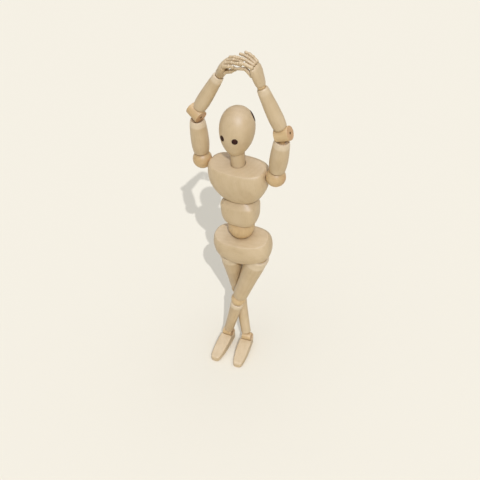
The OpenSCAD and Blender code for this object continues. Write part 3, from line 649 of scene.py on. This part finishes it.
head_o = solid("head_w", moved(revolve(egg_prof, 128), ahead))
seat_r = NECK_DIA / 2 + GAP
seat = revolve([(0, -20)] + [(seat_r + 20 * math.tan(math.radians(26)), -20)] + arc(seat_r, 0, 0, 66, 22) + [(2.6, math.sqrt(seat_r**2 - 2.6**2)), (2.6, 20), (0, 20)], 72)
ops = [("DIFFERENCE", seat)]
for s in (-1, 1):
    ops.append(("DIFFERENCE", moved(revolve([(0, -1.6), (EYE_DIA / 2 + 0.03, -1.6), (EYE_DIA / 2 + 0.03, 6), (0, 6)], 48), eye_m[s])))
ops.append(("DIFFERENCE", moved(revolve([(0, -2.6), (PLUG_DIA / 2 + 0.03, -2.6), (PLUG_DIA / 2 + 0.03, 10), (0, 10)], 64), plug_m)))
combine(head_o, *ops)
place(head_o, "head", head_m, wood("head", "pale_wood", grain=(0, 0, 30), end_mix=0.25))
er = EYE_DIA / 2
eye_prof = [(0, -1.5)] + rounded([(0.05, -1.5), (er, -1.5), (er, -0.1)], 0.2) + [(er * cosd(a), 0.42 * sind(a)) for a in range(4, 90, 6)] + [(0, 0.42)]
ea, eb = (moved(revolve(eye_prof, 48), eye_m[s]) for s in (-1, 1))
eyes_o = solid("eyes_w", (ea[0] + eb[0], ea[1] + [tuple(i + len(ea[0]) for i in f) for f in eb[1]]))
place(eyes_o, "eyes", head_m, INLAY)
place(solid("plug_w", moved(disc_on_egg(plug_m, PLUG_DIA / 2, 0.18, 2.5, 64, 14), plug_m)), "crown_plug", head_m, INLAY)

nr = NECK_DIA / 2
neck_prof = [(0, 6), (2.6, 6)] + [(2.6, NECK_LEN + math.sqrt(nr**2 - 2.6**2))] + arc(nr, NECK_LEN, 64, 0, 22) + rounded([(nr - 0.03, NECK_LEN - 0.4), (nr - 0.05, -2.6), (2.8, -2.6), (2.8, -14), (0, -14)], 0.4)
place(solid("neck_w", revolve(neck_prof)), "neck", neck_m, wood("neck", "pale_wood", end_mix=0.3, seam_shade_mix=0.1))

# ---------------------------------------------------------------- trunk
chest_k = [[31.5, 9, 6, 2], [33.2, 14.5, 10, 2.1], [37, 19.6, 13.2, 2.2], [43, 23.8, 15.6, 2.4], [50, 26.6, 17.2, 2.6], [57, 27.5, 17.6, 2.7], [62.5, 27.5, 17, 2.8], [66.2, 27, 16, 2.8], [68.8, 25, 13.8, 2.7], [70.4, 20.5, 10.6, 2.5], [71.4, 13.5, 7.4, 2.2], [72, 6.5, 4, 2]]
abdomen_k = [[7.2, 13.8, 10.8, 2.6], [8.2, 15.4, 12, 2.8], [11.6, 16.8, 13, 3], [15.5, 17.6, 13.5, 3.2], [21, 18, 13.7, 3.2], [26.2, 18.1, 13.7, 3.2], [28, 17.5, 13.2, 3.2], [31, 15, 11.2, 3], [34, 12.2, 9, 2.7], [36.4, 8, 6, 2.4]]
pelvis_k = [[-38.4, 16, 9, 2.2], [-36.6, 20.6, 12.4, 2.3], [-32.8, 24.8, 15.2, 2.4], [-27.4, 27.5, 17.2, 2.5], [-21.2, 28.5, 17.7, 2.6], [-15.2, 28.3, 17, 2.6], [-10.6, 26.9, 15.2, 2.6], [-7.6, 23.4, 12.2, 2.5], [-6.2, 17.6, 8.9, 2.3]]


def ball(r, c=(0, 0, 0), seg=72):
    return moved(revolve([(0, -r)] + arc(r, 0, -86, 86, 44) + [(0, r)], seg), shift(*c))


def rod(r, z0, z1, m=np.eye(4), seg=48):
    return moved(revolve([(0, z0), (r, z0), (r, z1), (0, z1)], seg), m)


def slab(lo, hi, m=np.eye(4)):
    v = [(x, y, z) for z in (lo[2], hi[2]) for y in (lo[1], hi[1]) for x in (lo[0], hi[0])]
    f = [(0, 2, 3, 1), (4, 5, 7, 6), (0, 1, 5, 4), (2, 6, 7, 3), (0, 4, 6, 2), (1, 3, 7, 5)]
    return moved((v, f), m)


neck_in_chest = np.linalg.inv(chest_m) @ neck_m
chest_o = solid("chest_w", loft(chest_k, 88, 160, CHEST_W / 55, CHEST_W * CHEST_FLAT / 35.2))
ops = [("DIFFERENCE", slab((-40, -30, 0), (40, 60, 30), shift(0, -15, 66.8) @ rot("X", 9))), ("DIFFERENCE", ball(DOME_R + GAP, (0, 0, DOME_UP), 96))]
for s in (-1, 1):
    ops.append(("DIFFERENCE", ball(SHOULDER_R + GAP, (s * SHOULDER_SPAN / 2, 0, SH_UP))))
ops.append(("DIFFERENCE", rod(nr + 0.1, -2.8, 20, neck_in_chest, 72)))
combine(chest_o, *ops)
soften(chest_o, 0.36, 8)
place(chest_o, "chest", chest_m, wood("chest", "pale_wood", grain=(0, 8, 0), end_mix=0.2, seam_shade_mix=0.1), sharp=50)

abd_o = solid("abdomen_w", loft(abdomen_k, 60, 128, ABD_W / 36, ABD_W * ABD_FLAT / 27.4))
combine(abd_o, ("INTERSECT", ball(DOME_R, (0, 0, DOME_UP), 96)), ("DIFFERENCE", ball(WAIST_R + GAP, (0, 0, 0), 96)), ("DIFFERENCE", rod(3.4, 0, 60)))
soften(abd_o, 0.4, 4)
place(abd_o, "abdomen", abdomen_m, wood("abdomen", "pale_wood", grain=(0, -6, 40), end_mix=0.2), sharp=50)

waist_prof = rounded([(0, -23), (3.0, -23), (3.0, -11.82)], 0.4) + arc(WAIST_R, 0, -75, 70, 60) + [(4.1, 11.5), (2.4, 7.5), (0, 7.5)]
place(solid("waist_w", revolve(waist_prof)), "waist_ball", pelvis_m, wood("waist_ball", "joint_wood", end_mix=0.5))

pel_o = solid("pelvis_w", loft(pelvis_k, 80, 160, PEL_W / 57, PEL_W * PEL_FLAT / 35.3))
ops = [("DIFFERENCE", slab((-40, -30, 0), (40, 60, 30), shift(0, -15.5, -13) @ rot("X", 14.3))), ("DIFFERENCE", ball(WAIST_R + GAP, (0, 0, 0), 96)), ("DIFFERENCE", slab((-40, -30, -60), (40, 30, -36.3)))]
for s in (-1, 1):
    c = shift(s * HIP_SPAN / 2, 0, -HG)
    ops.append(("DIFFERENCE", moved(ball(THIGH_DOME + 0.9, (0, 0, 0), 96), c)))
    x0 = -HIP_SPAN / 2 - 0.2 if s > 0 else HIP_SPAN / 2 + 0.2 - 60
    ops.append(("DIFFERENCE", slab((x0, -30, -30), (x0 + 60, 30, 1.6), c @ rot("Y", -s * 12))))
combine(pel_o, *ops)
soften(pel_o, 0.38, 6)
place(pel_o, "pelvis", pelvis_m, wood("pelvis", "pale_wood", grain=(0, 84, 0), end_mix=0.2), sharp=50)


# ---------------------------------------------------------------- springs and pins
def coil(r, wire, turns, z0):
    n = turns * 18
    s = np.linspace(0, 1, n + 1)
    pts = np.stack([r * np.cos(2 * math.pi * turns * s), r * np.sin(2 * math.pi * turns * s), z0 + wire / 2 + s * (turns - 1) * wire * 0.96], axis=1)
    return sweep(pts, [wire / 2 * 0.98] * (n + 1), 8)


for node, m, r, w, n, z in (
    ("trunk_spring", abdomen_m, 2.3, 1.4, 14, 13.4),
    ("neck_spring", neck_m, 1.7, 1.1, 8, 6.4),
    ("arm_spring_right", upper_m["right"], 1.7, 1.1, 24, 11),
    ("arm_spring_left", upper_m["left"], 1.7, 1.1, 24, 11),
    ("forearm_spring_right", fore_m["right"], 1.4, 1.0, 16, 9),
    ("forearm_spring_left", fore_m["left"], 1.4, 1.0, 16, 9),
    ("thigh_spring_right", thigh_m["right"], 2.2, 1.4, 28, 14),
    ("thigh_spring_left", thigh_m["left"], 2.2, 1.4, 28, 14),
):
    place(solid(node + "_w", coil(r, w, n, z)), node, m, SPRING_STEEL)

ACROSS = rot("Y", 90)  # a turned piece laid along x


def pin(length):
    h = length / 2
    return revolve([(0, -h)] + rounded([(0.05, -h), (PIN_R, -h), (PIN_R, h), (0.05, h)], 0.25) + [(0, h)], 32)


# ---------------------------------------------------------------- arms
upper_body = rounded([(4.16, 7.7), (5.95, 7.7), (6.55, 8.2), (6.85, 9.2)], [0, 0.3, 0.4, 0]) + spline([(6.85, 9.2), (7.1, 10.8), (7.6, 15.5), (7.75, 20), (7.6, 27), (7.2, 33), (6.95, 36.4), (6.7, 38.2)], 6)[1:]
upper_body += rounded([(6.7, 38.2), (6.3, 39.8), (5.95, 40.95), (5.55, 41.1), (4.7, 40.45), (3.5, 39.75), (2.6, 39.45)], [0, 0.5, 0.3, 0.25, 0.3, 0.3, 0])[1:-1]
fore_body = spline([(3.6, 4.6), (4.7, 5.2), (5.4, 6.4), (5.8, 8.6), (6.05, 13), (6.0, 18), (5.7, 25), (5.3, 31), (5.0, 36), (4.75, 39), (4.5, 40.8), (4.1, 41.6), (3.3, 41.8)], 6)
knuckle_x = [5.55, 1.85, -1.85, -5.35]
knuckle_z = [17.8, 18.3, 18.2, 18.0]
finger_l = [[5.4, 4.0, 3.2], [5.8, 4.3, 3.4], [5.4, 4.0, 3.2], [4.4, 3.3, 2.7]]
thumb_at = [3.8, 2.7, 11.4]
palm_k = [[0.7, 3.6, 3.4, 2], [1.7, 4.3, 3.8, 2], [4, 5.2, 4, 2.1], [8, 6.4, 4, 2.2], [12, 7.3, 3.8, 2.4], [14.8, 7.6, 3.1, 2.4], [16.3, 7.2, 2.2, 2.3], [17, 6.2, 1.2, 2.1]]
CURL = {"right": [40, 39, 38, 37], "left": [52, 43, 34, 25]}
THUMB = {"right": (37, -14), "left": (30, 50)}
BEND = 14


def digit(root, s, angles, lengths, cones, balls, tip):
    """Jointed finger: angles are each segment's total angle towards the palm from z."""
    step = 0.2
    pts, rad = [], []
    p = np.array(root, float)
    total = sum(lengths)
    joints = np.concatenate([[0], np.cumsum(lengths)])
    dirs = [np.array([0, s * sind(a), cosd(a)]) for a in angles]
    s0, s1 = -balls[0], total + tip
    ss = np.arange(s0, s1 + 1e-6, step)
    ss[-1] = s1

    def direction(x):
        # eased across each joint
        w = dirs[0].copy()
        for k in range(1, len(lengths)):
            t = min(1.0, max(0.0, (x - joints[k] + 0.9) / 1.8))
            t = t * t * (3 - 2 * t)
            w = w * (1 - t) + dirs[k] * t
        return unit(w)

    # walk outwards from the root both ways
    pos = {0: p}
    back = p - dirs[0] * balls[0]
    cur, last = back.copy(), s0
    for x in ss:
        cur = cur + direction((x + last) / 2) * (x - last)
        last = x
        pts.append(cur.copy())
        r = 0.0
        for k, (r1, r2) in enumerate(cones):
            a, b = joints[k], joints[k + 1]
            if a <= x <= b:
                r = max(r, r1 + (r2 - r1) * (x - a) / (b - a))
        for k, br in enumerate(balls):
            d = x - joints[k]
            if abs(d) < br:
                r = max(r, math.sqrt(br * br - d * d))
        d = x - total
        if 0 <= d < tip:
            r = max(r, math.sqrt(tip * tip - d * d))
        for k in range(1, len(lengths)):
            r -= 0.40 * math.exp(-(((x - joints[k] - 0.75) / 0.40) ** 2))
        rad.append(max(r, 0.0))
    rad[0] = rad[-1] = 0.0
    return sweep(pts, rad, 28)


for side, s in (("right", 1), ("left", -1)):
    out = 1 if side == "left" else -1
    stem_z = -out * chest_m[:3, 0]
    sm = at(shoulder[side], stem_z, chest_m[:3, 2])
    sball = [(0, -SHOULDER_R)] + arc(SHOULDER_R, 0, -86, 72, 50) + rounded([(STEM, math.sqrt(SHOULDER_R**2 - STEM**2)), (STEM, 20), (0, 20)], 0.4)
    place(solid("sb", revolve(sball)), "shoulder_ball_" + side, sm, wood("shoulder_ball_" + side, "joint_wood", end_mix=0.55))
    R = SHOULDER_R + GAP
    zs = math.sqrt(R**2 - 2.6**2)
    cup = [(2.6, 39.45), (2.6, zs)] + arc(R, 0, math.degrees(math.asin(zs / R)), math.degrees(math.asin(7.7 / R)), 14)[1:-1]
    place(solid("ua", revolve(cup + upper_body)), "upper_arm_" + side, upper_m[side], wood("upper_arm_" + side, "pale_wood", end_mix=0.4, lit_end_band=(0.0345, 0.0372)))
    # drum with its stem along the upper arm and a hole for the pin
    d = ELBOW_LEN / 2
    drum = revolve([(0, -d)] + rounded([(0.05, -d), (ELBOW_R, -d), (ELBOW_R, d), (0.05, d)], 0.55) + [(0, d)], 96)
    drum_o = solid("dr", moved(drum, ACROSS))
    to_drum = np.linalg.inv(drum_m[side]) @ upper_m[side]
    combine(drum_o, ("UNION", rod(2.55, 37, UPPER - 3, to_drum)), ("DIFFERENCE", rod(PIN_R + 0.02, -20, 20, ACROSS, 32)))
    place(drum_o, "elbow_drum_" + side, drum_m[side], wood("elbow_drum_" + side, "joint_wood", grain=(0, -90, 0), end_mix=0.9))
    place(solid("ep", moved(pin(ELBOW_LEN - 0.3), ACROSS)), "elbow_pin_" + side, drum_m[side], PIN_STEEL)
    # forearm, hollowed over the drum
    fa = solid("fa", revolve([(0, 4.6)] + fore_body + [(0, 41.8)]))
    to_fore = np.linalg.inv(fore_m[side]) @ drum_m[side]
    combine(fa, ("DIFFERENCE", rod(ELBOW_R + GAP, -20, 20, to_fore @ ACROSS, 128)), ("DIFFERENCE", ball(WRIST_R + GAP, (0, 0, FORE))), ("DIFFERENCE", rod(2.2, 0, 27)), ("DIFFERENCE", rod(1.55, 20, 60)))
    place(fa, "forearm_" + side, fore_m[side], wood("forearm_" + side, "pale_wood", end_mix=0.4, lit_end_band=(0.0352, 0.0385), lit_end_mix=0.62 if side == "right" else 0.25))
    wb = rounded([(0, -12), (1.5, -12), (1.5, -math.sqrt(WRIST_R**2 - 1.5**2))], 0.3) + arc(WRIST_R, 0, -62, 86, 40) + [(0, WRIST_R)]
    place(solid("wb", revolve(wb, 64)), "wrist_ball_" + side, wrist_m[side], wood("wrist_ball_" + side, "joint_wood"))
    # palm
    hm = hand_m[side]
    pa = solid("pa", loft(palm_k, 60, 96))
    ops = [("DIFFERENCE", ball(WRIST_R + GAP))]
    for i in range(4):
        ops.append(("DIFFERENCE", ball(1.82, (knuckle_x[i], 0, knuckle_z[i]), 40)))
    th, bend = THUMB[side]
    for da in (-11, 0, 11):
        m = shift(thumb_at[0], s * thumb_at[1], thumb_at[2]) @ rot("X", -s * (th + da))
        ops.append(("DIFFERENCE", moved(revolve([(0, -2.2)] + arc(2.2, 0, -86, 0, 16) + [(2.05, 9), (0, 9)], 40), m)))
    combine(pa, *ops)
    soften(pa, 0.22, 3)
    place(pa, "palm_" + side, hm, wood("palm_" + side, "pale_wood", end_mix=0.2), sharp=50)
    place(solid("th", digit([thumb_at[0], s * thumb_at[1], thumb_at[2]], s, [th, th + bend], [6.6, 4.8], [(1.7, 1.5), (1.45, 1.2)], [2.0, 1.75], 1.35)), "thumb_" + side, hm, wood("thumb_" + side, "pale_wood", end_mix=0.2, seam_shade_mix=0.5), sharp=60)
    for i, f in enumerate(("index_finger", "middle_finger", "ring_finger", "little_finger")):
        c = CURL[side][i]
        place(solid("fi", digit([knuckle_x[i], 0, knuckle_z[i]], s, [c, c + BEND, c + 2 * BEND], finger_l[i], [(1.5, 1.35), (1.35, 1.2), (1.25, 1.05)], [1.65, 1.6, 1.45], 1.2)), f + "_" + side, hm, wood(f + "_" + side, "pale_wood", end_mix=0.2, seam_shade_mix=0.5), sharp=60)

# ---------------------------------------------------------------- legs
thigh_body = spline([(10.02, 3.5), (10.1, 5.2), (10.2, 8), (10.15, 13), (9.9, 19), (9.4, 26), (8.85, 35), (8.4, 44), (8.05, 53), (7.75, 61), (7.55, 64.4)], 6) + rounded([(7.55, 64.4), (7.3, 66), (6.85, 66.75), (5.6, 66.9), (3.9, 66.9)], [0, 0.5, 0.4, 0.3, 0])[1:-1]
shin_body = rounded([(4.65, 6.2), (5.6, 6.2), (6.3, 7.0), (6.6, 8.6)], [0, 0.25, 0.4, 0]) + spline([(6.6, 8.6), (6.4, 12), (6.08, 17), (5.83, 23), (5.58, 30), (5.32, 38), (5.12, 46), (4.95, 53.4)], 6)[1:]
foot_half = [(2.2, 7.4), (4.2, 6.8), (5.5, 5.4), (5.9, 3), (6.1, -2), (6.4, -10), (6.3, -18), (5.7, -26), (4.9, -31), (4.0, -33.2), (2.7, -34.2), (0, -34.4)]
foot_top = [(7.4, 10.8), (6.6, 11.6), (4, 12), (-4, 11.2), (-15, 9.0), (-27, 6.4), (-33.4, 5.0), (-34.4, 3.4)]


def foot_geo():
    """Wedge with eased edges: sections across the foot, lofted from heel to toe."""
    plan = np.array(spline(foot_half, 8))
    plan[:, 0] = np.maximum(plan[:, 0], 0)
    top = np.array(spline(foot_top, 8))
    order = np.argsort(plan[:, 1])
    ys = np.concatenate([7.4 - 0.9 * np.linspace(0, 1, 7) ** 1.6, np.linspace(6.4, -31.4, 76)[1:], -34.4 + 3.0 * np.linspace(1, 0, 12)[1:] ** 1.8])
    ys = np.unique(np.round(ys, 4))[::-1]
    verts, faces, n = [], [], None
    for y in ys:
        w = max(float(np.interp(y, plan[order, 1], plan[order, 0])), 0.05)
        h = float(np.interp(y, top[::-1, 0], top[::-1, 1]))
        rb, rt = min(0.6, w * 0.5), min(1.0, w * 0.6)
        sec = rounded([(0, 0), (w, 0), (w, h), (0, h)], [0, rb, rt, 0], 7)
        sec = sec + [(-a, b) for a, b in sec[::-1][1:-1]]
        n = len(sec)
        verts += [(a, y, b) for a, b in sec]
    for j in range(len(ys) - 1):
        for i in range(n):
            k = (i + 1) % n
            faces.append((j * n + i, j * n + k, (j + 1) * n + k, (j + 1) * n + i))
    faces.append(tuple(range(n)))
    faces.append(tuple(range((len(ys) - 1) * n, len(ys) * n))[::-1])
    return verts, faces


for side, s in (("right", -1), ("left", 1)):
    hm = pelvis_m @ shift(s * HIP_SPAN / 2, 0, -HG) @ rot("Y", -s * 12)
    hb = [(0, -HIP_R)] + arc(HIP_R, 0, -86, 73, 50) + rounded([(STEM, math.sqrt(HIP_R**2 - STEM**2)), (STEM, 16.4), (0, 16.4)], 0.4)
    place(solid("hb", revolve(hb)), "hip_ball_" + side, hm, wood("hip_ball_" + side, "joint_wood"))
    R, K = HIP_R + GAP, KNEE_R + GAP
    za = math.degrees(math.acos(3.2 / R))
    zb = math.degrees(math.asin(-2.4 / R))
    top = arc(R, 0, za, zb, 26)
    dome = [(q, z) for q, z in arc(THIGH_DOME, 0, math.degrees(math.asin(-2.4 / THIGH_DOME)), math.degrees(math.asin(3.0 / THIGH_DOME)), 10)]
    rim = rounded([top[-1], (THIGH_DOME * cosd(math.degrees(math.asin(-2.4 / THIGH_DOME))) - 0.35, -2.4), (dome[0][0], -2.05)], 0.3)
    end = arc(K, THIGH, -math.degrees(math.acos(3.9 / K)), -math.degrees(math.acos(3.2 / K)), 8)
    place(solid("tg", revolve(top[:-1] + rim + dome[2:] + thigh_body + end)), "thigh_" + side, thigh_m[side], wood("thigh_" + side, "pale_wood", end_mix=0.4, lit_end_band=(0.0098, 0.0070)))
    kb = [(0, -KNEE_R)] + arc(KNEE_R, 0, -86, 71, 50) + rounded([(STEM, math.sqrt(KNEE_R**2 - STEM**2)), (STEM, 20), (0, 20)], 0.4)
    place(solid("kb", revolve(kb)), "knee_ball_" + side, knee_m[side], wood("knee_ball_" + side, "joint_wood", end_mix=0.4))
    cup = arc(K, 0, math.degrees(math.acos(2.45 / K)), math.degrees(math.asin(6.2 / K)), 16)
    low = rounded([(4.95, 53.5), (4.93, 54.2), (2.05, 54.2), (2.05, 36.5), (0, 36.5)], 0.35)
    place(solid("sh", revolve([(0, 20.4), (2.45, 20.4)] + cup + shin_body[1:] + low)), "shin_" + side, shin_m[side], wood("shin_" + side, "pale_wood", end_mix=0.4, lit_end_band=(0.0125, 0.0100)))
    d = ANKLE_LEN / 2
    ab = solid("ab", moved(revolve([(0, -d)] + rounded([(0.05, -d), (ANKLE_R, -d), (ANKLE_R, d), (0.05, d)], 0.45) + [(0, d)], 80), ACROSS))
    to_ankle = np.linalg.inv(ankle_m[side]) @ shin_m[side]
    combine(ab, ("INTERSECT", slab((-20, -20, 54.5), (20, 20, 94.5), to_ankle)), ("UNION", rod(2.0, 37, 55, to_ankle)), ("DIFFERENCE", rod(PIN_R + 0.02, -20, 20, ACROSS, 32)))
    place(ab, "ankle_block_" + side, ankle_m[side], wood("ankle_block_" + side, "joint_wood", grain=(0, -90, 0), end_mix=0.8))
    place(solid("ap", moved(pin(ANKLE_LEN - 0.3), ACROSS)), "ankle_pin_" + side, ankle_m[side], PIN_STEEL)
    ft = solid("ft", foot_geo())
    combine(ft, ("DIFFERENCE", rod(ANKLE_R + GAP, -20, 20, shift(0, 0, ANKLE_H) @ ACROSS, 128)))
    place(ft, "foot_" + side, foot_m[side], wood("foot_" + side, "pale_wood", grain=(90, 0, 0), end_mix=0.3))

# ---------------------------------------------------------------- floor, light, camera
floor_me = bpy.data.meshes.new("floor")
floor_me.from_pydata([(-12, -12, 0), (12, -12, 0), (12, 12, 0), (-12, 12, 0)], [], [(0, 1, 2, 3)])
floor = bpy.data.objects.new("floor", floor_me)
bpy.context.scene.collection.objects.link(floor)
fg = Nodes("floor")
fp = fg.new("ShaderNodeBsdfPrincipled")
fp.inputs["Base Color"].default_value = (0.716, 0.647, 0.493, 1)
fp.inputs["Roughness"].default_value = 0.9
fp.inputs["Specular IOR Level"].default_value = 0.0
fo = fg.new("ShaderNodeOutputMaterial")
fg.link(fp.outputs[0], fo.inputs["Surface"])
floor_me.materials.append(fg.mat)

scene = bpy.context.scene
world = bpy.data.worlds.new("studio")
scene.world = world
world.use_nodes = True
wt = world.node_tree
bg = wt.nodes["Background"]
coord = wt.nodes.new("ShaderNodeTexCoord")
split = wt.nodes.new("ShaderNodeSeparateXYZ")
wt.links.new(coord.outputs["Generated"], split.inputs[0])


def world_math(op, a, b):
    n = wt.nodes.new("ShaderNodeMath")
    n.operation = op
    for i, x in enumerate((a, b)):
        if isinstance(x, (int, float)):
            n.inputs[i].default_value = x
        else:
            wt.links.new(x, n.inputs[i])
    return n.outputs[0]


# large soft box overhead: bright above, dim towards the horizon
up = world_math("MAXIMUM", split.outputs["Z"], 0.0)
wt.links.new(world_math("ADD", world_math("MULTIPLY", world_math("POWER", up, 3.0), 1.9), 0.1), bg.inputs["Strength"])
bg.inputs["Color"].default_value = (1.0, 1.057, 1.234, 1)
plain = wt.nodes.new("ShaderNodeBackground")
plain.inputs["Color"].default_value = (0.922, 0.880, 0.783, 1)
path = wt.nodes.new("ShaderNodeLightPath")
either = wt.nodes.new("ShaderNodeMixShader")
wt.links.new(path.outputs["Is Camera Ray"], either.inputs[0])
wt.links.new(bg.outputs[0], either.inputs[1])
wt.links.new(plain.outputs[0], either.inputs[2])
wt.links.new(either.outputs[0], wt.nodes["World Output"].inputs["Surface"])
sun = bpy.data.lights.new("key", "SUN")
sun.energy = 1.87
sun.color = (1.0, 1.057, 1.234)
sun.angle = math.radians(0.5)
key = bpy.data.objects.new("key", sun)
scene.collection.objects.link(key)
key.rotation_mode = "QUATERNION"
key.rotation_quaternion = Vector((-0.49, 0.87, -1.0)).to_track_quat("-Z", "Y")
scene.view_settings.view_transform = "Standard"
scene.view_settings.look = "None"

A, E = 21.4, 40.475
back = Vector((sind(A) * cosd(E), -cosd(A) * cosd(E), sind(E)))
cam = bpy.data.cameras.new("camera")
cam.sensor_width = 36.0
cam.lens = 686.45 / 480 * 36.0
cam.clip_start, cam.clip_end = 0.01, 60
camera = bpy.data.objects.new("camera", cam)
scene.collection.objects.link(camera)
camera.location = (0.17610, -0.45773, 0.5718)
camera.rotation_mode = "QUATERNION"
camera.rotation_quaternion = (-back).to_track_quat("-Z", "Y")
scene.camera = camera
